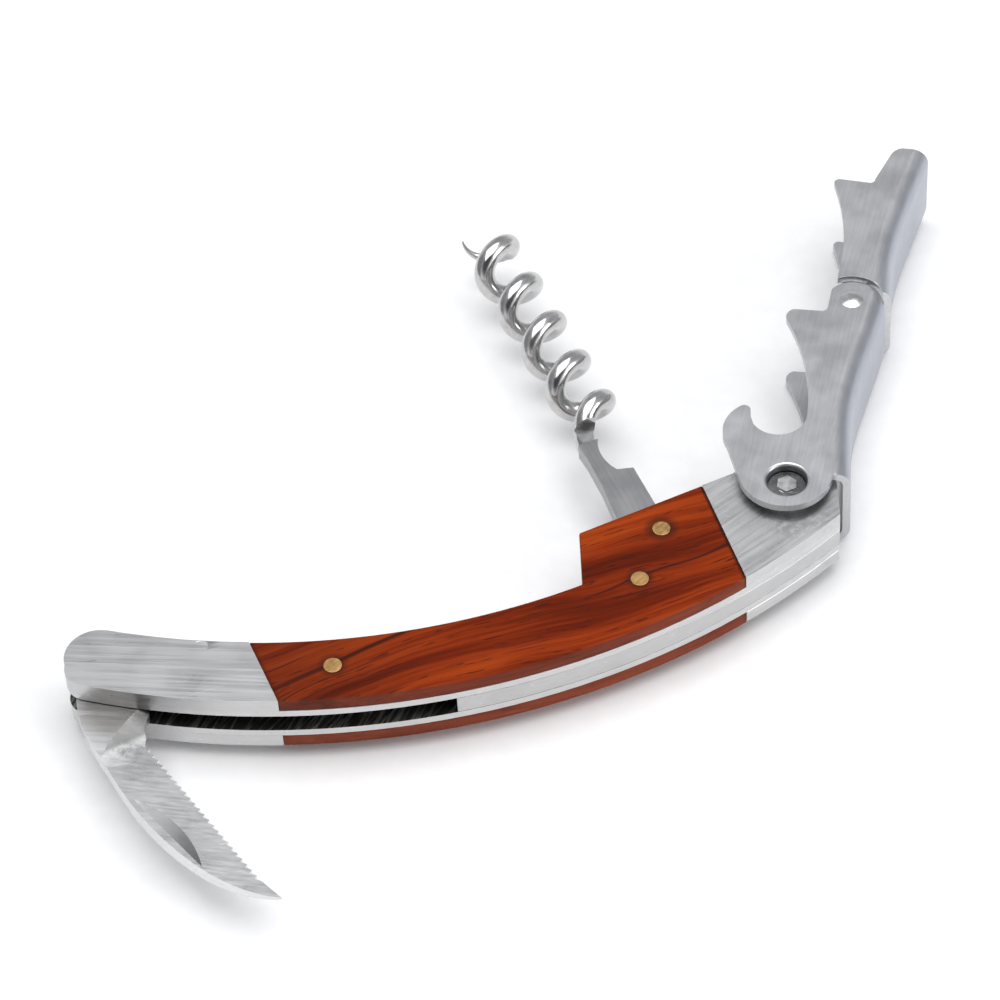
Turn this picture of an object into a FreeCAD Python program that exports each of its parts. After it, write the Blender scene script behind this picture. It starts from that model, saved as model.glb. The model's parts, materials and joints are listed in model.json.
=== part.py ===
"""Two-step waiters corkscrew, lying on its side with the knife, the worm and the lever opened out.

Millimetres. X runs along the handle from the knife end to the lever end, Y points to the side that the
worm folds into, and Z is up, through the handle's thickness. The plan is drawn around the lever's pivot,
at mid-thickness. Every piece is then moved so that the origin is at the middle of the footprint.
"""
import FreeCAD
import Part
import math
import os

V = FreeCAD.Vector
UP = V(0, 0, 1)

# Where the origin lies in the plan's own coordinates: the middle of the footprint, on the table
ORIGIN = V(-34.21, 12.34, -8.2)

# Thickness of the handle, from its middle outwards
SLOT = 3.2
LINER = 1.25
SCALE = 2.35
SLOT_HALF = SLOT / 2
LINER_TOP = SLOT_HALF + LINER
FACE = LINER_TOP + SCALE

# Plan of the handle
TOE_TOP = (-104.5, 3.7)
TOE_LEFT = (-112.0, -1.0)
TOE_BOTTOM = (-110.4, -5.4)
BACK_MID = (-51.0, -21.7)
END_BOTTOM = (6.2, -7.0)
END_TOP = (7.6, -1.2)
SHOULDER = (-4.5, 6.2)
STEP_TOP = (-32.4, 1.2)
STEP_FOOT = (-34.7, -8.7)
BELLY_MID = (-72.0, -8.1)
KNIFE_JOINT = ((-86.8, 10.2), (-82.3, -24.6))
LEVER_JOINT = ((-12.25, 12.0), (-10.6, -24.0))

# Pins and pivots, all square to the plan
PIN_R = 1.4
KNIFE_PIVOT = (-106.0, -1.2)
WORM_PIVOT = (-20.3, -1.6)
FRONT_PIN = (-74.0, -12.8)
REAR_PIN = (-26.2, -10.2)
SPACER_RIVETS = [(-46.0, -19.4), (-4.6, -9.3), (-8.6, 2.6)]
BOLSTER_RIVETS = [(-92.0, -3.6)]
RIVET_R = 1.1
RUNNING = 0.05
HEX_R = 1.62
HEX_HEIGHT = 0.55
HEX_TURN = 8

# Knife
BLADE = 2.9
BLADE_EDGE = 0.7
GRIND_WIDTH = 7.9
GRIND_START = 1.5
WHEEL_R = 18.0
NICK_DEPTH = 0.8
NICK_WIDTH = 2.5
NICK_LEVEL = 1.2
NICK_ENDS = ((-106.5, -25.9), (-99.7, -40.3))
KNIFE_TANG_R = 4.2
TEETH = 25
TOOTH_DEPTH = 0.55

# Worm
WIRE = 3.3
WORM_OD = 9.7
PITCH = 9.6
WORM_ANGLE = 98.0
WORM_OFFSET = 1.6
WORM_START = 29.8
WORM_STRAIGHT = 24.2
WORM_END = 71.0
WORM_TIP = 75.2
LOBE_STATION = 69.9
LOBE_ANGLE = 20.7
TANG = 2.9
TANG_R = 4.7
FLATTENING = 3.0
POINT_R = 0.15
ROOT_INSET = 0.02
LEAD = 0.45
STEPS_PER_TURN = 12

# Lever, bent up from sheet as two channels
CHANNEL = 15.4
SHEET = 1.2
BEND = 2.8
HALF = CHANNEL / 2
INSIDE = HALF - SHEET
HINGE = (21.3, 33.3)
HINGE_R = 1.3
HINGE_HEAD_R = 1.85
HINGE_HEAD = 0.5
HINGE_DOME_R = 4.0
HINGE_FOOT = 0.3
HINGE_FOOT_R = 1.75
SEAM_R = 5.4
TONGUE = 5.0
EAR = 1.1
EAR_GAP = 0.1
EAR_LEAN = 60.0
EAR_REACH = 9.0
EAR_WIDTH = 2.45
EAR_DROP = 3.2

# Dished eye of the lever, its washer and its pin
LEVER_PIN_R = 1.5
EYE_BORE_R = 3.05
EYE_WALL = 0.9
EYE_FLOOR = 0.5
EYE_ENTRY = 0.55
WASHER_R = 2.9
WASHER = 0.45

# Blocks used to cut with reach past anything they cut
PAST = 200.0
TOUCH = 0.01


def vec(point, z=0.0):
    return V(point[0], point[1], z)


def outline(start, *steps):
    """A closed wire. A step is a point, a pair (middle, end) of an arc, or a list for a smooth curve."""
    edges = []
    at = start
    for step in steps:
        if isinstance(step, list):
            curve = Part.BSplineCurve()
            curve.interpolate([vec(p) for p in [at] + step])
            edges.append(curve.toShape())
            at = step[-1]
        elif isinstance(step[0], tuple):
            edges.append(Part.Arc(vec(at), vec(step[0]), vec(step[1])).toShape())
            at = step[1]
        else:
            edges.append(Part.makeLine(vec(at), vec(step)))
            at = step
    if at != start:
        edges.append(Part.makeLine(vec(at), vec(start)))
    return Part.Wire(edges)


def plate(wire, low, high):
    """A flat piece with the given plan, between two heights."""
    solid = Part.Face(wire).extrude(V(0, 0, high - low))
    solid.translate(V(0, 0, low))
    return solid


def post(centre, radius, low, high):
    return Part.makeCylinder(radius, high - low, vec(centre, low), UP)


def bored(solid, centres, radius):
    """The solid with round holes right through it."""
    for centre in centres:
        solid = solid.cut(post(centre, radius, -2 * HALF, 2 * HALF))
    return solid


def mirrored(solid):
    return solid.mirror(V(0, 0, 0), UP)


def handle_outline():
    return outline(TOE_TOP, ((-109.6, 3.6), TOE_LEFT), ((-112.0, -3.7), TOE_BOTTOM), (BACK_MID, END_BOTTOM),
                   END_TOP, ((5.1, 5.5), SHOULDER), STEP_TOP, STEP_FOOT, (BELLY_MID, TOE_TOP))


def side_of(line, toward, low, high):
    """A large block on one side of a joint line; toward is -1 for the knife end and 1 for the lever end."""
    reach = PAST * toward
    return plate(outline(line[0], line[1], (line[1][0] + reach, line[1][1]),
                         (line[0][0] + reach, line[0][1])), low, high)


def build_handle():
    parts = {}
    for side, end in ((1, "_top"), (-1, "_bottom")):
        layer = plate(handle_outline(), *sorted((side * LINER_TOP, side * FACE)))
        knife_side = side_of(KNIFE_JOINT, -1, -HALF, HALF)
        lever_side = side_of(LEVER_JOINT, 1, -HALF, HALF)
        knife_bolster = bored(layer.common(knife_side), BOLSTER_RIVETS, RIVET_R)
        lever_bolster = bored(layer.common(lever_side), SPACER_RIVETS[1:], RIVET_R)
        scale = layer.cut(knife_side).cut(lever_side)
        liner = plate(handle_outline(), *sorted((side * SLOT_HALF, side * LINER_TOP)))
        liner = bored(liner, [KNIFE_PIVOT, WORM_PIVOT, FRONT_PIN, REAR_PIN], PIN_R)
        liner = bored(liner, SPACER_RIVETS + BOLSTER_RIVETS, RIVET_R)
        parts["knife_bolster" + end] = bored(knife_bolster, [KNIFE_PIVOT], PIN_R)
        parts["lever_bolster" + end] = bored(lever_bolster, [(0, 0)], LEVER_PIN_R)
        parts["wood_scale" + end] = bored(scale, [WORM_PIVOT, FRONT_PIN, REAR_PIN], PIN_R)
        parts["liner" + end] = bored(liner, [(0, 0)], LEVER_PIN_R)
    parts["knife_pivot_pin"] = post(KNIFE_PIVOT, PIN_R, -FACE, FACE)
    parts["worm_pivot_pin"] = post(WORM_PIVOT, PIN_R, -FACE, FACE)
    parts["spring_front_pin"] = post(FRONT_PIN, PIN_R, -FACE, FACE)
    parts["spring_rear_pin"] = post(REAR_PIN, PIN_R, -FACE, FACE)
    parts["spacer_rivets"] = Part.makeCompound(
        [post(SPACER_RIVETS[0], RIVET_R, -LINER_TOP, LINER_TOP)]
        + [post(p, RIVET_R, -FACE, FACE) for p in SPACER_RIVETS[1:]])
    parts["bolster_rivets"] = Part.makeCompound(
        [post(p, RIVET_R, side * SLOT_HALF if side > 0 else -FACE, FACE if side > 0 else -SLOT_HALF)
         for p in BOLSTER_RIVETS for side in (-1, 1)])
    return parts


def build_slot():
    """What lies between the liners: the spacer along the lever half and the two-armed spring."""
    spacer = plate(outline((-58.3, -23.5), (-55.9, -16.8), ((-38.6, -16.3), (-22.0, -13.2)), (-13.6, -9.0),
                           (-13.6, 9.0), (12.0, 9.0), (12.0, -23.5)), -SLOT_HALF, SLOT_HALF)
    inside = plate(handle_outline(), -SLOT_HALF, SLOT_HALF)
    spacer = bored(spacer.common(inside), SPACER_RIVETS, RIVET_R)
    spacer = bored(spacer, [(0, 0)], LEVER_PIN_R)
    lower = [(-95.2, -2.6), (-91.5, -6.3), (-84.0, -10.2), (-74.0, -14.35)]
    spring = plate(outline((-101.1, 4.0), (-101.1, 0.8), *lower, (-60.0, -15.6), ((-42.0, -15.6), (-25.5, -12.6)),
                           (-22.0, -8.7), (-15.4, -8.3), (-15.4, -6.45), (-24.0, -6.45), (-29.0, -7.6),
                           (-35.6, -7.6)), -SLOT_HALF, SLOT_HALF)
    spring = spring.common(inside)
    spring = spring.cut(post(KNIFE_PIVOT, KNIFE_TANG_R + RUNNING, -FACE, FACE))
    spring = spring.cut(post(WORM_PIVOT, TANG_R + RUNNING, -FACE, FACE))
    spring = bored(spring, [FRONT_PIN, REAR_PIN], PIN_R)
    return {"slot_spacer": spacer, "two_arm_spring": spring}


def serrated(start, end, count, depth):
    """Points of a saw edge from start to end; the teeth lean towards the end."""
    run = V(end[0] - start[0], end[1] - start[1], 0)
    side = V(-run.y, run.x, 0).normalize() * depth
    points = []
    for i in range(count):
        foot = V(*start, 0) + run * ((i + 0.75) / count)
        top = V(*start, 0) + run * ((i + 1) / count)
        points += [(foot.x + side.x, foot.y + side.y), (top.x, top.y)]
    return points


def build_knife():
    tip = (-90.2, -48.2)
    edge_end = (-92.3, -44.6)
    edge_start = (-103.3, -15.2)
    back = [(-111.7, -8.5), (-110.3, -15.9), (-107.2, -27.2), (-101.6, -38.5), (-95.9, -45.0), tip]
    teeth = serrated(edge_end, edge_start, TEETH, TOOTH_DEPTH)
    plan = outline((-110.2, -1.2), back, edge_end, *teeth, (-102.9, -14.2), (-103.0, -12.6), (-101.6, -10.2),
                   (-101.8, -1.2))
    half = BLADE / 2
    blade = plate(plan, -half, half)
    blade = blade.fuse(post(KNIFE_PIVOT, KNIFE_TANG_R, -half, half)).removeSplitter()
    # Both sides are ground flat from the back to the edge, and the grinding wheel runs out at the heel
    along = V(edge_end[0] - edge_start[0], edge_end[1] - edge_start[1], 0).normalize()
    across = V(-along.y, along.x, 0)
    fall = math.atan((half - BLADE_EDGE / 2) / GRIND_WIDTH)
    grind = Part.makeBox(PAST, 30, 4, V(GRIND_START, -20, 0))
    grind = grind.fuse(Part.makeCylinder(WHEEL_R, 30, V(GRIND_START, -20, WHEEL_R), V(0, 1, 0)))
    grind.rotate(V(0, 0, 0), V(1, 0, 0), -math.degrees(fall))
    set_down = FreeCAD.Placement(vec(edge_start, BLADE_EDGE / 2), FreeCAD.Rotation(along, across, UP, "ZXY"))
    grind.Placement = set_down.multiply(grind.Placement)
    blade = blade.cut(grind).cut(mirrored(grind))
    # Thumbnail nick, cut by a tilted wheel: a straight wall beside the back, running out in an arc
    nick_a, nick_b = [vec(p, NICK_LEVEL) for p in NICK_ENDS]
    chord = (nick_b - nick_a).Length / 2
    wheel_r = (chord ** 2 + NICK_DEPTH ** 2) / (2 * NICK_DEPTH)
    tilt = math.atan(NICK_DEPTH / NICK_WIDTH)
    run = (nick_b - nick_a).normalize()
    out = V(-run.y, run.x, 0)
    middle = (nick_a + nick_b) * 0.5 - UP * NICK_DEPTH
    hub = middle - out * (wheel_r * math.sin(tilt)) + UP * (wheel_r * math.cos(tilt))
    blade = blade.cut(Part.makeCylinder(wheel_r, 12, hub, out * math.cos(tilt) + UP * math.sin(tilt)))
    return {"knife_blade": bored(blade, [KNIFE_PIVOT], PIN_R + RUNNING)}


def worm_frame():
    angle = math.radians(WORM_ANGLE)
    along = V(math.cos(angle), math.sin(angle), 0)
    right = V(math.sin(angle), -math.cos(angle), 0)
    return along, right, vec(WORM_PIVOT) + right * WORM_OFFSET


def build_worm():
    along, right, base = worm_frame()
    radius = (WORM_OD - WIRE) / 2

    def on_helix(station):
        turn = math.radians(LOBE_ANGLE + 360 * (LOBE_STATION - station) / PITCH)
        return base + along * station + right * (radius * math.cos(turn)) + UP * (radius * math.sin(turn))

    def tangent(station):
        return (on_helix(station - TOUCH) - on_helix(station + TOUCH)).normalize()

    def swept(points, sections):
        path = Part.BSplineCurve()
        path.interpolate(points)
        rings = [Part.Wire(Part.Circle(*section).toShape()) for section in sections]
        return Part.Wire(path.toShape()).makePipeShell(rings, True, False)

    def stations(first, last, count):
        return [first + (last - first) * i / count for i in range(count + 1)]

    wire_r = WIRE / 2
    start = on_helix(WORM_START)
    shank_end = base - right * radius + along * WORM_STRAIGHT
    lead = (WORM_START - WORM_STRAIGHT) * LEAD
    bend = Part.BezierCurve()
    bend.setPoles([shank_end, shank_end + along * lead, start + tangent(WORM_START) * lead, start])
    turns = (WORM_END - WORM_START) / PITCH
    helix = [on_helix(s) for s in stations(WORM_START, WORM_END, int(turns * STEPS_PER_TURN))]
    wire = swept([bend.value(i / 4) for i in range(4)] + helix, [(shank_end, along, wire_r)])
    # The point starts a little inside the wire and tapers along the same helix
    root = WORM_END - WIRE / 4
    sections = [(on_helix(root), tangent(root), wire_r - ROOT_INSET),
                (on_helix(WORM_TIP), tangent(WORM_TIP), POINT_R)]
    taper = swept([on_helix(s) for s in stations(root, WORM_TIP, 6)], sections)
    wire = wire.fuse(taper)

    # The wire's end is flattened on both sides down to the tang's thickness
    half = TANG / 2
    press = Part.makeBox(30, 5 + FLATTENING, 5, V(-15, -5, 0))
    press.rotate(V(0, 0, 0), V(1, 0, 0), math.degrees(math.atan((wire_r - half) / FLATTENING)))
    press.Placement = FreeCAD.Placement(shank_end + UP * half,
                                        FreeCAD.Rotation(right, along, UP, "ZXY")).multiply(press.Placement)
    wire = wire.cut(press).cut(mirrored(press))

    top_left = shank_end - right * wire_r
    top_right = shank_end + right * wire_r
    tang = plate(outline((-25.1, -1.6), (-25.6, 12.6), (-26.3, 19.0), (top_left.x, top_left.y),
                         (top_right.x, top_right.y), ((-23.9, 18.4), (-22.5, 15.3)), (-20.0, 14.9), (-18.9, 6.4),
                         (-17.9, 2.0)), -half, half)
    tang = tang.fuse(post(WORM_PIVOT, TANG_R, -half, half)).removeSplitter()
    tang = bored(tang, [WORM_PIVOT], PIN_R + RUNNING)
    return {"worm_coil": wire, "worm_tang": tang}


def shifted(points, distance):
    """The points moved sideways, to the left of the way they run."""
    moved = []
    for i, p in enumerate(points):
        before = points[max(i - 1, 0)]
        after = points[min(i + 1, len(points) - 1)]
        run = V(after[0] - before[0], after[1] - before[1], 0).normalize()
        moved.append((p[0] - run.y * distance, p[1] + run.x * distance))
    return moved


def channel(back, wall):
    """A sheet-metal channel: its web follows the back curve and its walls have the given plan."""
    def block(points, half, bend):
        far = -60.0
        wire = outline(points[0], points[1:], (far, points[-1][1] + 40), (far, points[0][1] - 40))
        solid = plate(wire, -half, half)
        edges = [e for e in solid.Edges if abs(abs(e.CenterOfMass.z) - half) < TOUCH
                 and e.Curve.TypeId == "Part::GeomBSplineCurve"]
        return solid.makeFillet(bend, edges)

    shell = block(back, HALF, BEND).cut(block(shifted(back, SHEET), INSIDE, BEND - SHEET))
    return shell.common(plate(wall, -HALF - 1, HALF + 1))


def eye():
    """The dished eye that reaches in from the wall to the handle, drawn in half section and turned."""
    low = FACE + RUNNING
    outer = EYE_BORE_R + EYE_WALL
    section = [(LEVER_PIN_R + RUNNING, low), (outer, low), (outer, HALF), (EYE_BORE_R, HALF),
               (EYE_BORE_R, low + EYE_FLOOR), (LEVER_PIN_R + RUNNING, low + EYE_FLOOR)]
    wire = Part.makePolygon([V(r, 0, z) for r, z in section + section[:1]])
    solid = Part.Face(wire).revolve(V(0, 0, 0), UP, 360)
    mouth = [e for e in solid.Edges if abs(e.CenterOfMass.z - HALF) < TOUCH and e.BoundBox.XLength < 2 * outer - 0.5
             and e.BoundBox.XLength > 1]
    return solid.makeFillet(EYE_ENTRY, mouth)


def build_lower_lever():
    back = [(9.1, -3.4), (10.9, 2.2), (14.7, 12.6), (20.9, 23.2), (28.5, 35.7)]
    wall = outline((-6.8, 2.1), ((0.4, -5.4), (6.9, -1.2)), (12.5, -2.2), (40.0, 20.0), (40.0, 40.0), (24.0, 36.15),
                   ((22.6, 36.95), (19.0, 36.4)), (17.3, 33.0), ((16.9, 32.5), (16.2, 32.3)), (12.0, 34.1),
                   ((10.8, 33.6), (10.3, 32.0)), ((9.9, 21.6), (7.1, 12.0)), ((2.4, 9.0), (-1.4, 12.6)),
                   (-1.3, 14.1), (-0.85, 15.7), ((-1.2, 16.5), (-2.3, 16.65)), ((-5.3, 14.5), (-6.5, 9.6)))
    lever = channel(back, wall)
    # Beside the hinge the web is cut back, but for a tongue that runs up inside the upper stage's web
    notch = outline((25.1, 32.1), (40.0, 32.1), (40.0, 42.0), (22.0, 42.0), (22.0, 37.2),
                    ((24.4, 35.8), (25.1, 32.1)))
    for side in (1, -1):
        lever = lever.cut(plate(notch, *sorted((side * TONGUE / 2, side * CHANNEL))))
    lever = lever.cut(plate(notch, -TONGUE, TONGUE).cut(post(HINGE, SEAM_R, -HALF, HALF)))
    lever = bored(lever, [(0, 0)], EYE_BORE_R + EYE_WALL / 2)
    lever = lever.fuse([eye(), mirrored(eye())]).removeSplitter()
    lever = bored(lever, [HINGE], HINGE_R)
    under_ear = INSIDE - EAR_GAP - EAR - RUNNING
    shank = post(HINGE, HINGE_R, under_ear - HINGE_FOOT, HALF)
    head = Part.makeSphere(HINGE_DOME_R, vec(HINGE, HALF + HINGE_HEAD - HINGE_DOME_R)).common(
        post(HINGE, HINGE_HEAD_R, HALF, HALF + HINGE_HEAD))
    foot = post(HINGE, HINGE_FOOT_R, under_ear - HINGE_FOOT, under_ear)
    rivet = shank.fuse([head, foot])
    return {"lower_lever": lever, "hinge_rivet_top": rivet, "hinge_rivet_bottom": mirrored(rivet)}


def build_upper_lever():
    back = [(27.9, 33.2), (30.2, 39.9), (35.4, 49.3), (45.3, 64.2)]
    wall = outline((20.65, 38.45), ((25.3, 36.6), (26.5, 33.7)), (40.0, 33.7), (60.0, 55.0), (44.6, 61.5),
                   (40.0, 63.7), ((38.9, 63.6), (37.8, 62.9)), (33.5, 58.2), ((32.9, 57.6), (32.1, 57.8)),
                   (28.0, 60.0), ((27.2, 59.8), (26.9, 59.0)), ((25.4, 50.0), (21.2, 39.6)))
    lever = channel(back, wall)
    lean = math.radians(EAR_LEAN)
    run = V(math.cos(lean), math.sin(lean), 0)
    side = V(run.y, -run.x, 0)
    hinge = vec(HINGE)

    def corner(u, v):
        point = hinge + run * u + side * v
        return (point.x, point.y)

    ear_low, ear_high = INSIDE - EAR_GAP - EAR, INSIDE
    # The heel below the hinge bears on the web when the lever is straight
    ear = plate(outline(corner(EAR_REACH, -EAR_WIDTH), corner(-1.0, -EAR_WIDTH), corner(-EAR_DROP, -0.8),
                        corner(-EAR_DROP, EAR_WIDTH), corner(0, EAR_WIDTH),
                        (corner(1.5, 2.05), corner(2.35, 1.15)), corner(EAR_REACH, 1.3)),
                ear_low, ear_high)
    relief = post(HINGE, SEAM_R, INSIDE - EAR_GAP, HALF + 1)
    ear = bored(ear.cut(relief), [HINGE], HINGE_R + RUNNING)
    lever = lever.fuse([ear, mirrored(ear)]).removeSplitter()
    return {"upper_lever": lever}


def build_pivot():
    """The pin that the lever turns on, with a washer in each dished eye."""
    low = FACE + RUNNING + EYE_FLOOR + RUNNING
    washer = post((0, 0), WASHER_R, low, low + WASHER).cut(post((0, 0), LEVER_PIN_R, 0, HALF))
    top = low + WASHER
    angles = [math.radians(60 * i + HEX_TURN) for i in range(7)]
    hexagon = Part.makePolygon([V(HEX_R * math.cos(a), HEX_R * math.sin(a), top) for a in angles])
    head = Part.Face(hexagon).extrude(UP * HEX_HEIGHT)
    pin = post((0, 0), LEVER_PIN_R, -top, top).fuse([head, mirrored(head)])
    return {"lever_pivot_pin": pin, "lever_washer_top": washer, "lever_washer_bottom": mirrored(washer)}


def main():
    os.makedirs("parts", exist_ok=True)
    parts = {}
    for build in (build_handle, build_slot, build_knife, build_worm, build_pivot, build_lower_lever,
                  build_upper_lever):
        parts.update(build())
    for name, solid in parts.items():
        solid.translate(-ORIGIN)
        solid.exportStep("parts/" + name + ".step")
        print(name, solid.ShapeType, len(solid.Solids), round(solid.Volume, 2), solid.isValid())


main()
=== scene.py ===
import json
import math

import bmesh
import bpy
from mathutils import Matrix, Vector


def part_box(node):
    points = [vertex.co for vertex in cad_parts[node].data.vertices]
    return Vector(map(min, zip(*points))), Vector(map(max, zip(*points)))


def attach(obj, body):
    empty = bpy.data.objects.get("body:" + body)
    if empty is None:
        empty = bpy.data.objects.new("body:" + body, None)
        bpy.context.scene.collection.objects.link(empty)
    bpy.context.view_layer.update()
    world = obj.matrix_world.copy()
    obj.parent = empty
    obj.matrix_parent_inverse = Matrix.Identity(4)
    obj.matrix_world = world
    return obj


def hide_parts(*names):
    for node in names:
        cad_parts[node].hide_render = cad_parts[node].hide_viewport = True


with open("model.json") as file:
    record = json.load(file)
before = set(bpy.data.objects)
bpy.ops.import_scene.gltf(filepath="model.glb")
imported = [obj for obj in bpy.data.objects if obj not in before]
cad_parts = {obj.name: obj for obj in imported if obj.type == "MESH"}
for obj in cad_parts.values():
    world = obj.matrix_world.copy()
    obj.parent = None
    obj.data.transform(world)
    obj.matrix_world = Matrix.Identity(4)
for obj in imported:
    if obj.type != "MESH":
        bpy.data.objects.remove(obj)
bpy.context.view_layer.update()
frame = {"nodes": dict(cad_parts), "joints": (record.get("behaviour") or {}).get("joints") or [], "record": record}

MM = 0.001
joints = {j["name"]: Vector(j["pos_m"]) for j in frame["joints"]}
LEVER_PIVOT = joints["lever_pivot"]
KNIFE_PIVOT = joints["knife_pivot"]
WORM_PIVOT = joints["worm_pivot"]
HINGE = joints["lever_hinge"]
FLOOR_TOP = 0.0


def from_lever(x, y, z=0.0):
    """A place given in millimetres from the lever's pivot, which is the origin of the tool's plan."""
    return LEVER_PIVOT + Vector((x, y, z)) * MM


# ---------------------------------------------------------------- node helpers

class Nodes:
    """A material under construction, with short calls for the nodes that it uses."""

    def __init__(self, name):
        self.material = bpy.data.materials.new(name)
        self.material.use_nodes = True
        self.tree = self.material.node_tree
        self.tree.nodes.clear()
        self.output = self.add("ShaderNodeOutputMaterial")
        self.coords = self.add("ShaderNodeTexCoord").outputs["Object"]
        self.geometry = self.add("ShaderNodeNewGeometry")

    def add(self, kind, **settings):
        node = self.tree.nodes.new(kind)
        for key, value in settings.items():
            setattr(node, key, value)
        return node

    def put(self, node, socket, value):
        target = node.inputs[socket]
        if isinstance(value, bpy.types.NodeSocket):
            self.tree.links.new(value, target)
        else:
            target.default_value = value

    def math(self, operation, first, second=0.0, clamp=False):
        node = self.add("ShaderNodeMath", operation=operation, use_clamp=clamp)
        self.put(node, 0, first)
        self.put(node, 1, second)
        return node.outputs[0]

    def vector_math(self, operation, first, second=(0, 0, 0)):
        node = self.add("ShaderNodeVectorMath", operation=operation)
        self.put(node, 0, first)
        self.put(node, 1, second)
        return node

    def turned(self, place, degrees, stretch, vector=None):
        """Coordinates about a place, turned so that X runs at an angle in plan, then scaled, in 1/m."""
        source = self.coords if vector is None else vector
        away = self.vector_math("SUBTRACT", source, tuple(place)).outputs[0]
        spun = self.add("ShaderNodeVectorRotate", rotation_type="Z_AXIS")
        self.put(spun, "Vector", away)
        self.put(spun, "Angle", -math.radians(degrees))
        return self.vector_math("MULTIPLY", spun.outputs[0], stretch).outputs[0]

    def noise(self, vector, scale, detail=2.0, roughness=0.5, distortion=0.0):
        node = self.add("ShaderNodeTexNoise")
        self.put(node, "Vector", vector)
        self.put(node, "Scale", scale)
        self.put(node, "Detail", detail)
        self.put(node, "Roughness", roughness)
        self.put(node, "Distortion", distortion)
        return node.outputs["Fac"]

    def span(self, value, low, high, new_low=0.0, new_high=1.0):
        node = self.add("ShaderNodeMapRange", interpolation_type="SMOOTHSTEP")
        self.put(node, "Value", value)
        self.put(node, "From Min", low)
        self.put(node, "From Max", high)
        self.put(node, "To Min", new_low)
        self.put(node, "To Max", new_high)
        return node.outputs["Result"]

    def level(self, low, high):
        """0 to 1 as a surface turns from upright to lying flat, between two height parts of its normal."""
        parts = self.add("ShaderNodeSeparateXYZ")
        self.put(parts, "Vector", self.geometry.outputs["Normal"])
        return self.span(self.math("ABSOLUTE", parts.outputs["Z"]), low, high)

    def line(self, place, degrees, half_mm, soft_mm, wander=None):
        """1 on a line through a place at an angle in plan, falling to 0 beside it; wander bends the line."""
        parts = self.add("ShaderNodeSeparateXYZ")
        self.put(parts, "Vector", self.turned(place, degrees, (1, 1, 1)))
        across = parts.outputs["Y"] if wander is None else self.math("ADD", parts.outputs["Y"], wander)
        return self.span(self.math("ABSOLUTE", across), half_mm * MM, soft_mm * MM, 1.0, 0.0)

    def near(self, place, full, gone, flat=False):
        """1 within a radius of a place, falling to 0 at a larger one, in millimetres; flat ignores height."""
        vector = self.coords
        if flat:
            vector = self.vector_math("MULTIPLY", vector, (1, 1, 0)).outputs[0]
            place = (place[0], place[1], 0)
        distance = self.vector_math("DISTANCE", vector, tuple(place)).outputs["Value"]
        return self.span(distance, full * MM, gone * MM, 1.0, 0.0)

    def blend(self, amount, first, second):
        node = self.add("ShaderNodeMix", data_type="RGBA")
        self.put(node, 0, amount)
        self.put(node, 6, first)
        self.put(node, 7, second)
        return node.outputs[2]

    def ramp(self, value, *stops):
        node = self.add("ShaderNodeValToRGB")
        elements = node.color_ramp.elements
        while len(elements) < len(stops):
            elements.new(0.5)
        for element, (position, colour) in zip(elements, stops):
            element.position = position
            element.color = (*colour, 1)
        self.put(node, "Fac", value)
        return node.outputs["Color"]

    def bump(self, height, depth_mm, below=None):
        node = self.add("ShaderNodeBump")
        self.put(node, "Height", height)
        self.put(node, "Strength", 1.0)
        self.put(node, "Distance", depth_mm * MM)
        if below is not None:
            self.put(node, "Normal", below)
        return node.outputs["Normal"]

    def finish(self, colour, roughness, normal=None, metallic=1.0, **settings):
        shader = self.add("ShaderNodeBsdfPrincipled")
        self.put(shader, "Base Color", colour)
        self.put(shader, "Roughness", roughness)
        self.put(shader, "Metallic", metallic)
        if normal is not None:
            self.put(shader, "Normal", normal)
        for name, value in settings.items():
            self.put(shader, name.replace("_", " "), value)
        self.put(self.output, "Surface", shader.outputs[0])
        return self.material


def grey(value, warm=0.0):
    return (value + warm, value, value - warm, 1)


# ---------------------------------------------------------------- materials

def brushed(name, degrees, place, tone=0.58, rough=0.34):
    """Linished stainless: fine lines along one direction, faint blotches and a few stray scratches."""
    n = Nodes(name)
    fine = n.noise(n.turned(place, degrees, (60, 2600, 2600)), 1.0, 3.0, 0.65)
    broad = n.noise(n.turned(place, degrees, (25, 420, 420)), 1.0, 2.0, 0.5)
    cloud = n.noise(n.coords, 140.0, 3.0, 0.55)
    stray = n.noise(n.turned(place, degrees + 24, (45, 1500, 1500)), 1.0, 1.0, 0.4)
    scratch = n.span(stray, 0.70, 0.76)
    shade = n.math("ADD", n.math("MULTIPLY", fine, 0.80), n.math("MULTIPLY", broad, 0.20))
    colour = n.ramp(shade, (0.3, (tone * 0.92,) * 3), (0.5, (tone,) * 3), (0.7, (tone * 1.07,) * 3))
    colour = n.blend(n.span(cloud, 0.40, 0.75, 0.0, 0.12), colour, grey(tone * 0.72))
    colour = n.blend(n.math("MULTIPLY", scratch, 0.35), colour, grey(tone * 1.3))
    roughness = n.math("ADD", n.span(cloud, 0.3, 0.7, -0.04, 0.05),
                       n.span(fine, 0.3, 0.7, rough - 0.05, rough + 0.06))
    normal = n.bump(fine, 0.006)
    normal = n.bump(scratch, -0.004, normal)
    return n, colour, roughness, normal


def bolster_material(name, degrees, place, marks):
    """The bolsters, with residue or rubbing marks: each mark is a place, two radii, a strength and a tone."""
    n, colour, roughness, normal = brushed(name, degrees, place)
    for where, full, gone, strength, tone, ragged in marks:
        edge = n.noise(n.coords, ragged, 3.0, 0.7)
        amount = n.math("MULTIPLY", n.near(where, full, gone, flat=True), n.span(edge, 0.42, 0.55))
        colour = n.blend(n.math("MULTIPLY", amount, strength), colour, grey(tone))
    return n.finish(colour, roughness, normal)


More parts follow.
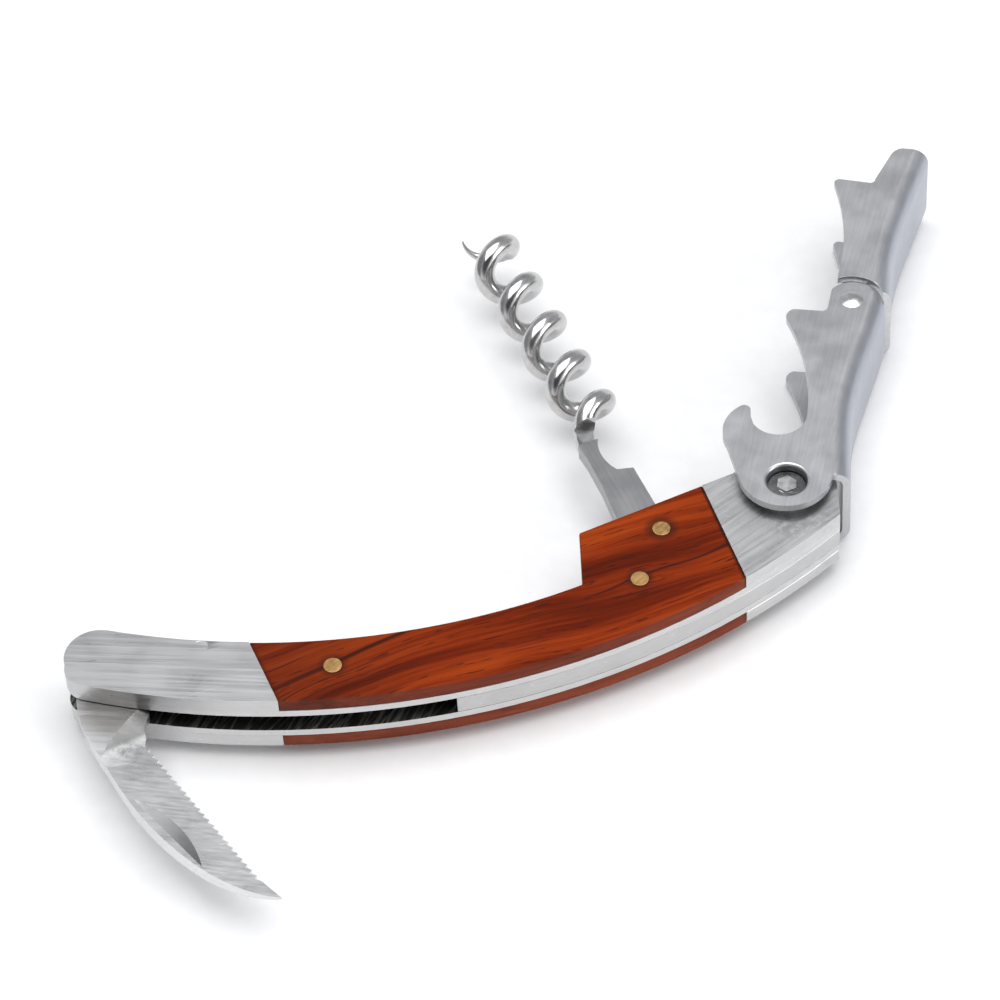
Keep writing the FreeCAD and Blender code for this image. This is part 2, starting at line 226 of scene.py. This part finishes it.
def wood_material():
    """Oiled rosewood: red-brown streaks, a few near-black veins and short open pores, all along the grain."""
    n = Nodes("rosewood")
    grain_angle = 4.0
    along = (18, 420, 420)
    warp = n.noise(n.turned(LEVER_PIVOT, grain_angle, (22, 60, 60)), 1.0, 2.0, 0.5)
    bent = n.add("ShaderNodeCombineXYZ")
    n.put(bent, "Y", n.math("MULTIPLY", n.math("SUBTRACT", warp, 0.5), 0.010))
    moved = n.vector_math("ADD", n.coords, bent.outputs[0]).outputs[0]
    broad = n.noise(n.turned(LEVER_PIVOT, grain_angle, (10, 170, 170), moved), 1.0, 3.0, 0.55)
    streak = n.noise(n.turned(LEVER_PIVOT, grain_angle, along, moved), 1.0, 4.0, 0.65)
    fibre = n.noise(n.turned(LEVER_PIVOT, grain_angle, (70, 2600, 2600), moved), 1.0, 3.0, 0.7)
    tone = n.math("ADD", n.math("MULTIPLY", broad, 0.5), n.math("MULTIPLY", streak, 0.35))
    tone = n.math("ADD", tone, n.math("MULTIPLY", fibre, 0.15))
    colour = n.ramp(tone, (0.34, (0.040, 0.005, 0.001)), (0.44, (0.130, 0.012, 0.001)),
                    (0.51, (0.235, 0.026, 0.002)), (0.60, (0.360, 0.052, 0.004)))
    vein = n.noise(n.turned(LEVER_PIVOT, grain_angle, (9, 230, 230), moved), 1.0, 1.0, 0.4)
    vein = n.span(n.math("ABSOLUTE", n.math("SUBTRACT", vein, 0.5)), 0.002, 0.014, 1.0, 0.0)
    broken = n.span(n.noise(n.turned(LEVER_PIVOT, grain_angle, (60, 160, 160)), 1.0, 2.0, 0.5), 0.42, 0.56)
    vein = n.math("MULTIPLY", vein, broken)
    colour = n.blend(n.math("MULTIPLY", vein, 0.75), colour, (0.022, 0.006, 0.004, 1))
    pore = n.noise(n.turned(LEVER_PIVOT, grain_angle, (260, 3000, 3000), moved), 1.0, 1.0, 0.5)
    pore = n.span(pore, 0.66, 0.72)
    colour = n.blend(n.math("MULTIPLY", pore, 0.75), colour, (0.030, 0.008, 0.005, 1))
    # One long vein runs from the left end through the first pin and on to the right
    wander = n.math("MULTIPLY", n.math("SUBTRACT", warp, 0.5), 0.006)
    long_vein = n.line(PIN_PLACES[0], 10, 0.12, 0.55, wander)
    long_vein = n.math("MULTIPLY", long_vein, n.near(PIN_PLACES[0], 14, 26, flat=True))
    colour = n.blend(n.math("MULTIPLY", long_vein, 0.8), colour, (0.022, 0.005, 0.003, 1))
    joint_lines = ((from_lever(-11.4, -6), -87.4, 0.9), (from_lever(-84.5, -7), -82.6, 0.4))
    for joint_line, degrees, strength in joint_lines:
        colour = n.blend(n.math("MULTIPLY", n.line(joint_line, degrees, 0.2, 0.75), strength), colour,
                         (0.018, 0.005, 0.003, 1))
    # Darker round the pins and towards the left end
    colour = n.blend(n.math("MULTIPLY", n.near(WORM_PIVOT, 1.5, 3.2, flat=True), 0.65), colour,
                     (0.030, 0.008, 0.005, 1))
    for place in PIN_PLACES:
        colour = n.blend(n.math("MULTIPLY", n.near(place, 1.45, 2.6, flat=True), 0.55), colour,
                         (0.030, 0.008, 0.005, 1))
    colour = n.blend(n.math("MULTIPLY", n.near(from_lever(-90, -8), 8, 34, flat=True), 0.45), colour,
                     (0.055, 0.008, 0.003, 1))
    upright = n.add("ShaderNodeSeparateXYZ")
    n.put(upright, "Vector", n.geometry.outputs["Normal"])
    side = n.span(n.math("ABSOLUTE", upright.outputs["Z"]), 0.5, 0.95, 1.0, 0.0)
    sawn = n.ramp(tone, (0.36, (0.075, 0.015, 0.008)), (0.62, (0.22, 0.055, 0.030)))
    colour = n.blend(n.math("MULTIPLY", side, 0.8), colour, sawn)
    height = n.math("SUBTRACT", n.math("MULTIPLY", fibre, 0.4), n.math("ADD", pore, vein))
    normal = n.bump(height, 0.030)
    roughness = n.math("ADD", n.math("MULTIPLY", pore, 0.3), n.span(streak, 0.3, 0.7, 0.36, 0.50))
    return n.finish(colour, roughness, normal, metallic=0.0, Specular_IOR_Level=0.07)


def brass_material():
    n = Nodes("brass_pin")
    sanded = n.noise(n.turned(LEVER_PIVOT, 30, (500, 3000, 3000)), 1.0, 3.0, 0.6)
    cloud = n.noise(n.coords, 700.0, 3.0, 0.6)
    tone = n.math("ADD", n.math("MULTIPLY", sanded, 0.6), n.math("MULTIPLY", cloud, 0.4))
    colour = n.ramp(tone, (0.3, (0.30, 0.17, 0.060)), (0.5, (0.47, 0.28, 0.11)), (0.7, (0.62, 0.40, 0.19)))
    roughness = n.span(cloud, 0.3, 0.7, 0.36, 0.52)
    return n.finish(colour, roughness, n.bump(sanded, 0.008))


def liner_material(name, inner):
    """The liners: pale on their cut edges; the side turned into the slot is painted dark as the slot's shade, with
    crossing grinding marks.
    """
    n, colour, roughness, normal = brushed(name, 14, LEVER_PIVOT, 0.60, 0.36)
    upright = n.add("ShaderNodeSeparateXYZ")
    n.put(upright, "Vector", n.geometry.outputs["Normal"])
    # Painted shade: the face turned into the slot is coloured dark, as shade inside the slot, with pale grinding
    # marks and darker blotches on it
    slot_shade_mask = n.span(n.math("MULTIPLY", upright.outputs["Z"], inner), 0.5, 0.9)
    ground = n.noise(n.turned(LEVER_PIVOT, 52, (50, 1500, 1500)), 1.0, 3.0, 0.6)
    other = n.noise(n.turned(LEVER_PIVOT, 38, (60, 1800, 1800)), 1.0, 2.0, 0.6)
    marks = n.math("MAXIMUM", n.span(ground, 0.50, 0.66), n.span(other, 0.56, 0.68))
    stain = n.noise(n.coords, 90.0, 3.0, 0.6)
    dark = n.blend(n.math("MULTIPLY", marks, 0.9), (0.055, 0.055, 0.045, 1), (0.32, 0.32, 0.29, 1))
    dark = n.blend(n.span(stain, 0.45, 0.65, 0.0, 0.6), dark, (0.035, 0.034, 0.030, 1))
    colour = n.blend(slot_shade_mask, colour, dark)
    roughness = n.math("ADD", roughness, n.math("MULTIPLY", slot_shade_mask, 0.12))
    return n.finish(colour, roughness, n.bump(marks, 0.010, normal))


def satin_material(name, place, degrees, tone=0.50):
    """Tumbled and lightly brushed sheet steel, with painted shade in a dark ring round the lever's pivot and on
    faces turned towards +X.
    """
    n = Nodes(name)
    fine = n.noise(n.turned(place, degrees, (120, 2200, 2200)), 1.0, 3.0, 0.6)
    grain = n.noise(n.coords, 4200.0, 2.0, 0.6)
    cloud = n.noise(n.coords, 160.0, 4.0, 0.6)
    shade = n.math("ADD", n.math("MULTIPLY", fine, 0.5), n.math("MULTIPLY", grain, 0.2))
    shade = n.math("ADD", shade, n.math("MULTIPLY", cloud, 0.3))
    colour = n.ramp(shade, (0.32, (tone * 0.88, tone * 0.89, tone * 0.91)),
                    (0.5, (tone, tone * 1.01, tone * 1.03)),
                    (0.68, (tone * 1.12, tone * 1.13, tone * 1.15)))
    # Painted shade: a dark ring round the lever's pivot, where the hole of the dished eye lies in shade
    colour = n.blend(n.math("MULTIPLY", n.near(LEVER_PIVOT, 2.9, 3.25, flat=True), 0.8), colour, grey(0.10))
    # Painted shade and reflection: faces turned towards +X, such as the channel's web, made darker and bluish
    aside = n.add("ShaderNodeSeparateXYZ")
    n.put(aside, "Vector", n.geometry.outputs["Normal"])
    turned_face_shade = n.span(aside.outputs["X"], 0.15, 0.7)
    colour = n.blend(n.math("MULTIPLY", turned_face_shade, 0.8), colour, (tone * 0.68, tone * 0.72, tone * 0.82, 1))
    roughness = n.span(cloud, 0.3, 0.7, 0.34, 0.44)
    normal = n.bump(fine, 0.005)
    normal = n.bump(grain, 0.003, normal)
    return n.finish(colour, roughness, normal)


def blade_material():
    """The ground blade: lines across it, light scratches, a dark smudge below the pivot, and painted shade at the
    heel and on the slightly sloped faces of the nick and the grind's run-out.
    """
    n, colour, roughness, normal = brushed("blade_steel", -20, KNIFE_PIVOT, 0.74, 0.33)
    smudge_edge = n.noise(n.coords, 500.0, 4.0, 0.7)
    smudge = n.near(KNIFE_PIVOT + Vector((-0.5, -14.5, 0)) * MM, 0.6, 3.6, flat=True)
    smudge = n.math("MULTIPLY", smudge, n.span(smudge_edge, 0.36, 0.62))
    colour = n.blend(n.math("MULTIPLY", smudge, 0.65), colour, grey(0.16))
    # Painted shade: the heel darker and warmer, where its ground face reflects dark
    heel_shade = n.near(KNIFE_PIVOT + Vector((0, -7.0, 0)) * MM, 3.0, 8.0, flat=True)
    colour = n.blend(n.math("MULTIPLY", heel_shade, 0.7), colour, (0.20, 0.185, 0.165, 1))
    # Painted shade: faces that slope slightly, such as the nail nick and the grind's run-out, darkened as dark
    # reflections
    sloped_face_shade = n.math("MULTIPLY", n.level(0.90, 0.94), n.math("SUBTRACT", 1.0, n.level(0.972, 0.984)))
    colour = n.blend(n.math("MULTIPLY", sloped_face_shade, 0.85), colour, grey(0.17))
    return n.finish(colour, roughness, normal)


def polished_material():
    """The worm's wire: bright, with drawing marks along the wire that only just show."""
    n = Nodes("polished_wire")
    fine = n.noise(n.coords, 2600.0, 3.0, 0.6)
    cloud = n.noise(n.coords, 420.0, 3.0, 0.55)
    tone = n.math("ADD", n.math("MULTIPLY", fine, 0.4), n.math("MULTIPLY", cloud, 0.6))
    colour = n.ramp(tone, (0.3, (0.42, 0.415, 0.41)), (0.5, (0.56, 0.555, 0.55)), (0.7, (0.66, 0.655, 0.65)))
    roughness = n.span(cloud, 0.3, 0.7, 0.10, 0.22)
    return n.finish(colour, roughness, n.bump(fine, 0.003))


def pin_material(name, low, high):
    n = Nodes(name)
    fine = n.noise(n.coords, 3000.0, 2.0, 0.6)
    cloud = n.noise(n.coords, 500.0, 3.0, 0.6)
    colour = n.ramp(cloud, (0.3, (low,) * 3), (0.7, (high,) * 3))
    return n.finish(colour, n.span(cloud, 0.3, 0.7, 0.20, 0.34), n.bump(fine, 0.004))


PIN_PLACES = [sum(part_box(node), Vector()) / 2 for node in ("spring_front_pin", "spring_rear_pin")]

BOLSTER_KNIFE = bolster_material("bolster_knife", -20, KNIFE_PIVOT, [
    (from_lever(-92.0, 1.6), 1.2, 3.4, 0.45, 0.30, 420.0),
    (from_lever(-87.6, 0.4), 0.6, 2.4, 0.35, 0.32, 500.0)])
BOLSTER_LEVER = bolster_material("bolster_lever", 24, LEVER_PIVOT, [
    (from_lever(-1.5, -6.4), 1.2, 4.6, 0.40, 0.26, 900.0),
    (from_lever(2.5, -6.0), 1.0, 4.2, 0.36, 0.28, 1100.0)])
WOOD = wood_material()
BRASS = brass_material()
LINER_UP = liner_material("liner_top_face", -1)
LINER_DOWN = liner_material("liner_bottom_face", 1)
n, *steel = brushed("spring_steel", 12, LEVER_PIVOT, 0.52, 0.34)
SPRING = n.finish(*steel)
SATIN_LOWER = satin_material("satin_lower_lever", LEVER_PIVOT, 62, 0.54)
SATIN_UPPER = satin_material("satin_upper_lever", HINGE, 60, 0.56)
SATIN_TANG = satin_material("satin_tang", WORM_PIVOT, 98, 0.36)
BLADE = blade_material()
POLISHED = polished_material()
PIN = pin_material("turned_steel", 0.55, 0.78)
WASHER = pin_material("dark_washer", 0.16, 0.26)

FINISHES = {
    "knife_bolster_top": BOLSTER_KNIFE, "knife_bolster_bottom": BOLSTER_KNIFE,
    "lever_bolster_top": BOLSTER_LEVER, "lever_bolster_bottom": BOLSTER_LEVER,
    "wood_scale_top": WOOD, "wood_scale_bottom": WOOD,
    "liner_top": LINER_UP, "liner_bottom": LINER_DOWN,
    "slot_spacer": SPRING, "two_arm_spring": SPRING,
    "knife_pivot_pin": BOLSTER_KNIFE, "bolster_rivets": BOLSTER_KNIFE, "spacer_rivets": BOLSTER_LEVER,
    "worm_pivot_pin": BRASS, "spring_front_pin": BRASS, "spring_rear_pin": BRASS,
    "lever_pivot_pin": PIN, "lever_washer_top": WASHER, "lever_washer_bottom": WASHER,
    "hinge_rivet_top": PIN, "hinge_rivet_bottom": PIN,
    "knife_blade": BLADE, "worm_coil": POLISHED, "worm_tang": SATIN_TANG,
    "lower_lever": SATIN_LOWER, "upper_lever": SATIN_UPPER,
}

BODY_OF = {node: body for body, nodes in frame["record"]["behaviour"]["bodies"].items() for node in nodes}

# Edges that turn by more than this are sharp. The table gives the most that each piece's are rounded, in
# millimetres: a piece with very short edges is rounded less all over, and the upper bolsters, the lower
# knife bolster, the levers, the tang and the lever's pin stay nearly sharp
SHARP = math.radians(38)
SOFTENED = {
    "knife_bolster_top": 0.22, "knife_bolster_bottom": 0.22,
    "lever_bolster_top": 0.22, "lever_bolster_bottom": 0.22,
    "wood_scale_top": 0.28, "wood_scale_bottom": 0.28, "liner_top": 0.07, "liner_bottom": 0.07,
    "slot_spacer": 0.10, "two_arm_spring": 0.12, "worm_tang": 0.30,
    "lower_lever": 0.28, "upper_lever": 0.28, "lever_pivot_pin": 0.12,
    "lever_washer_top": 0.08, "lever_washer_bottom": 0.08,
    "worm_pivot_pin": 0.10, "spring_front_pin": 0.10, "spring_rear_pin": 0.10,
}

# Rivets and pins ground flush with the bolsters: the metal closes on them without a rounded rim
FLUSH_PLACES = [KNIFE_PIVOT, from_lever(-92.0, -3.6), from_lever(-4.6, -9.3), from_lever(-8.6, 2.6)]
FLUSH_REACH = 1.8


def soften(node, radius):
    """Replaces a CAD node by a copy whose flat faces are shaded flat and whose sharp edges are rounded, by up
    to the radius and never so far that two rounded edges would meet."""
    mesh = bpy.data.meshes.new(node + "_soft")
    form = bmesh.new()
    form.from_mesh(frame["nodes"][node].data)
    bmesh.ops.remove_doubles(form, verts=form.verts, dist=0.0005 * MM)
    bmesh.ops.dissolve_limit(form, angle_limit=math.radians(0.6), verts=form.verts, edges=form.edges)
    weights = form.edges.layers.float.new("bevel_weight_edge")
    for edge in form.edges:
        middle = (edge.verts[0].co + edge.verts[1].co) / 2
        flush = any((middle - place).xy.length < FLUSH_REACH * MM for place in FLUSH_PLACES)
        if edge.is_manifold and edge.calc_face_angle() > SHARP and not flush:
            edge[weights] = 1.0
    form.to_mesh(mesh)
    form.free()
    mesh.shade_smooth()
    piece = bpy.data.objects.new(node + "_soft", mesh)
    bpy.context.scene.collection.objects.link(piece)
    bevel = piece.modifiers.new("round", "BEVEL")
    bevel.width = radius * MM
    bevel.segments = 3
    bevel.limit_method = "WEIGHT"
    bevel.use_clamp_overlap = True
    bevel.harden_normals = True
    level = piece.modifiers.new("level", "WEIGHTED_NORMAL")
    level.weight = 100
    level.thresh = 0.01
    bpy.context.view_layer.update()
    evaluated = piece.evaluated_get(bpy.context.evaluated_depsgraph_get())
    rounded = bpy.data.meshes.new_from_object(evaluated)
    piece.modifiers.clear()
    piece.data = rounded
    rounded.materials.clear()
    rounded.materials.append(FINISHES[node])
    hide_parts(node)
    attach(piece, BODY_OF[node])


for node, material in FINISHES.items():
    if node in SOFTENED:
        soften(node, SOFTENED[node])
    else:
        mesh = frame["nodes"][node].data
        mesh.materials.clear()
        mesh.materials.append(material)


# ---------------------------------------------------------------- floor, light and camera

def floor_material():
    n = Nodes("pale_floor")
    speck = n.noise(n.coords, 300.0, 2.0, 0.5)
    colour = n.ramp(speck, (0.3, (0.90, 0.90, 0.905)), (0.7, (0.93, 0.93, 0.935)))
    return n.finish(colour, 0.6, metallic=0.0)


def build_floor():
    mesh = bpy.data.meshes.new("floor")
    form = bmesh.new()
    bmesh.ops.create_grid(form, x_segments=2, y_segments=2, size=4.0)
    form.to_mesh(mesh)
    form.free()
    floor = bpy.data.objects.new("floor", mesh)
    floor.location.z = FLOOR_TOP
    mesh.materials.append(floor_material())
    bpy.context.scene.collection.objects.link(floor)


def area_light(name, place, aim, size, power):
    light = bpy.data.lights.new(name, "AREA")
    light.shape = "RECTANGLE"
    light.size, light.size_y = size
    light.energy = power
    lamp = bpy.data.objects.new(name, light)
    lamp.location = place
    lamp.rotation_euler = (Vector(aim) - Vector(place)).to_track_quat("-Z", "Y").to_euler()
    bpy.context.scene.collection.objects.link(lamp)


# Dim patches of the surroundings: direction, where each starts and is full (degrees away), and its colour
DIM_PATCHES = [
    ((0.135, 0.655, 0.743), 60, 20, (0.42, 0.43, 0.45)),
    ((-0.135, -0.655, 0.743), 48, 22, (0.10, 0.10, 0.11)),
    ((-1.0, 0.1, 0.25), 55, 20, (0.30, 0.31, 0.33)),
    ((0.9, 0.2, 0.5), 38, 14, (0.45, 0.46, 0.48)),
]


def build_light():
    """A white studio, dimmer above the far side and dark round the camera, so that metal shows its form."""
    scene = bpy.context.scene
    scene.view_settings.view_transform = "Standard"
    world = bpy.data.worlds.new("studio")
    scene.world = world
    world.use_nodes = True
    tree = world.node_tree
    background = tree.nodes["Background"]
    coords = tree.nodes.new("ShaderNodeTexCoord")

    def patch(direction, wide, narrow):
        """1 in a direction, falling to 0 away from it."""
        dot = tree.nodes.new("ShaderNodeVectorMath")
        dot.operation = "DOT_PRODUCT"
        tree.links.new(coords.outputs["Generated"], dot.inputs[0])
        dot.inputs[1].default_value = Vector(direction).normalized()
        fall = tree.nodes.new("ShaderNodeMapRange")
        fall.interpolation_type = "SMOOTHSTEP"
        tree.links.new(dot.outputs["Value"], fall.inputs["Value"])
        fall.inputs["From Min"].default_value = math.cos(math.radians(wide))
        fall.inputs["From Max"].default_value = math.cos(math.radians(narrow))
        return fall.outputs["Result"]

    shade = (1.0, 1.0, 1.0, 1)
    for direction, wide, narrow, tone in DIM_PATCHES:
        mix = tree.nodes.new("ShaderNodeMix")
        mix.data_type = "RGBA"
        tree.links.new(patch(direction, wide, narrow), mix.inputs[0])
        if isinstance(shade, tuple):
            mix.inputs[6].default_value = shade
        else:
            tree.links.new(shade, mix.inputs[6])
        mix.inputs[7].default_value = (*tone, 1)
        shade = mix.outputs[2]
    tree.links.new(shade, background.inputs["Color"])
    background.inputs["Strength"].default_value = 1.0
    area_light("overhead", (0.0, -0.05, 1.1), (0, 0, 0), (1.2, 1.2), 12.0)
    area_light("front_right", (0.8, -0.55, 0.35), (0, 0, 0), (0.5, 0.4), 3.0)


def build_camera():
    camera = bpy.data.cameras.new("camera")
    camera.sensor_width = 36.0
    camera.lens = 144.0
    camera.clip_start = 0.05
    look_at = from_lever(-41.130, 15.835)
    distance = 0.61538
    forward = Vector((0.13502, 0.65537, -0.74314)).normalized()
    level = Vector((0.97943, -0.20178, 0)).normalized()
    above = level.cross(forward)
    roll = math.radians(4.4)
    x_axis = level * math.cos(roll) - above * math.sin(roll)
    y_axis = level * math.sin(roll) + above * math.cos(roll)
    placed = Matrix((x_axis, y_axis, -forward)).transposed().to_4x4()
    placed.translation = look_at - forward * distance
    viewer = bpy.data.objects.new("camera", camera)
    viewer.matrix_world = placed
    bpy.context.scene.collection.objects.link(viewer)
    bpy.context.scene.camera = viewer


build_floor()
build_light()
build_camera()
